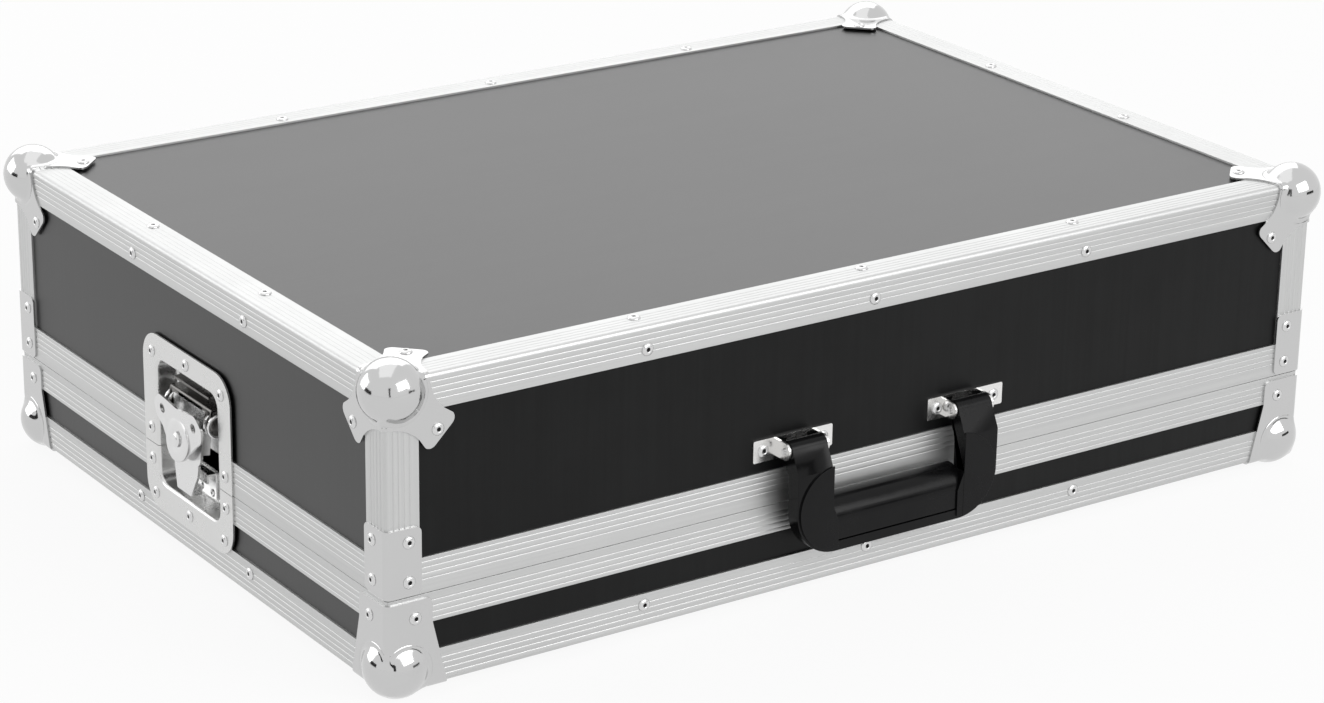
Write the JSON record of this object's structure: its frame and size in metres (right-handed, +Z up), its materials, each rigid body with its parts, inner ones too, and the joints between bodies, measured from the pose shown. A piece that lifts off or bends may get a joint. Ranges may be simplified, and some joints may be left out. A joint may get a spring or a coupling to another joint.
{
  "type": "guitar pedal case",
  "caption": "Flight case for guitar pedals: shallow base tray, deep lift-off lid, aluminium edges, steel corners, recessed butterfly latches and a drop handle.",
  "frame": {"origin": "middle of the outer box, on the plane that the foot corners stand on", "axes": "+X to the right seen from the handle side, +Y from the handle side to the back, +Z up; the lid lifts off along +Z"},
  "size_m": [0.718, 0.5105, 0.2085],
  "materials": {
    "panel_laminate": "plywood with a dark satin laminate face",
    "edge_aluminium": "satin anodised, grooved along its length",
    "rivet_steel": "nickel plated",
    "corner_plate": "bright plated pressed steel",
    "latch_dish_plate": "bright plated pressed steel",
    "latch_steel": "bright plated",
    "spring_steel": "spring wire",
    "handle_steel": "bright plated",
    "handle_plastic": "glossy black moulding",
    "loop_mat": "short loop pile",
    "foam": "soft open foam"
  },
  "bodies": {
    "base": {"base_angle_back": "edge_aluminium", "base_angle_front": "edge_aluminium", "base_angle_left": "edge_aluminium", "base_angle_right": "edge_aluminium", "base_back_panel": "panel_laminate", "base_bottom_panel": "panel_laminate", "base_foot_corners": "corner_plate", "base_front_panel": "panel_laminate", "base_latch_dish_left": "latch_dish_plate", "base_latch_dish_right": "latch_dish_plate", "base_left_panel": "panel_laminate", "base_loop_mat": "loop_mat", "base_right_panel": "panel_laminate", "base_rim_back": "edge_aluminium", "base_rim_front": "edge_aluminium", "base_rim_left": "edge_aluminium", "base_rim_right": "edge_aluminium", "base_rivets": "rivet_steel", "latch_keeper_left": "latch_steel", "latch_keeper_right": "latch_steel"},
    "lid": {"handle_brackets": "handle_steel", "handle_pins": "handle_steel", "latch_bracket_left": "latch_steel", "latch_bracket_right": "latch_steel", "latch_pivot_pins": "latch_steel", "latch_springs": "spring_steel", "lid_angle_back": "edge_aluminium", "lid_angle_front": "edge_aluminium", "lid_angle_left": "edge_aluminium", "lid_angle_right": "edge_aluminium", "lid_back_panel": "panel_laminate", "lid_ball_corners": "corner_plate", "lid_corner_braces": "corner_plate", "lid_corner_posts": "edge_aluminium", "lid_front_panel": "panel_laminate", "lid_latch_dish_left": "latch_dish_plate", "lid_latch_dish_right": "latch_dish_plate", "lid_left_panel": "panel_laminate", "lid_right_panel": "panel_laminate", "lid_rim_back": "edge_aluminium", "lid_rim_front": "edge_aluminium", "lid_rim_left": "edge_aluminium", "lid_rim_right": "edge_aluminium", "lid_rivets": "rivet_steel", "lid_top_foam": "foam", "lid_top_panel": "panel_laminate", "lid_wall_foam": "foam"},
    "handle": {"handle_frame": "handle_plastic", "handle_grip": "handle_plastic"},
    "left_latch_arm": {"latch_arm_left": "latch_steel"},
    "left_latch_key": {"latch_key_left": "latch_steel", "latch_disc_left": "latch_steel", "latch_spindle_left": "latch_steel"},
    "left_latch_hook": {"latch_hook_left": "latch_steel"},
    "right_latch_arm": {"latch_arm_right": "latch_steel"},
    "right_latch_key": {"latch_key_right": "latch_steel", "latch_disc_right": "latch_steel", "latch_spindle_right": "latch_steel"},
    "right_latch_hook": {"latch_hook_right": "latch_steel"}
  },
  "joints": [
    {"name": "lid_lift", "type": "slide", "parent": "base", "child": "lid", "axis": [0, 0, 1], "range_m": [0, 0.3]},
    {"name": "handle_swing", "type": "hinge", "parent": "lid", "child": "handle", "pos_m": [0, -0.2411, 0.1021], "axis": [-1, 0, 0], "range_deg": [0, 110]},
    {"name": "latch_left_swing", "type": "hinge", "parent": "lid", "child": "left_latch_arm", "pos_m": [-0.342, 0.0059, 0.1001], "axis": [0, 1, 0], "range_deg": [-7, 60], "stiffness_Nm_per_rad": 0.3, "springref_deg": 0.86},
    {"name": "latch_left_key", "type": "hinge", "parent": "left_latch_arm", "child": "left_latch_key", "pos_m": [-0.34401, 0.0059, 0.08372], "axis": [-0.9925, 0, 0.1219], "range_deg": [0, 180]},
    {"name": "latch_left_hook", "type": "slide", "parent": "left_latch_arm", "child": "left_latch_hook", "axis": [0.1219, 0, 0.9925], "range_m": [0, 0.0037]},
    {"name": "latch_right_swing", "type": "hinge", "parent": "lid", "child": "right_latch_arm", "pos_m": [0.342, 0.0059, 0.1001], "axis": [0, -1, 0], "range_deg": [-7, 60], "stiffness_Nm_per_rad": 0.3, "springref_deg": 0.86},
    {"name": "latch_right_key", "type": "hinge", "parent": "right_latch_arm", "child": "right_latch_key", "pos_m": [0.34401, 0.0059, 0.08372], "axis": [0.9925, 0, 0.1219], "range_deg": [0, 180]},
    {"name": "latch_right_hook", "type": "slide", "parent": "right_latch_arm", "child": "right_latch_hook", "axis": [-0.1219, 0, 0.9925], "range_m": [0, 0.0037]}
  ],
  "couplings": [
    {"joint": "latch_left_hook", "follows": "latch_left_key", "m_per_rad": 0.0011777},
    {"joint": "latch_right_hook", "follows": "latch_right_key", "m_per_rad": 0.0011777}
  ]
}
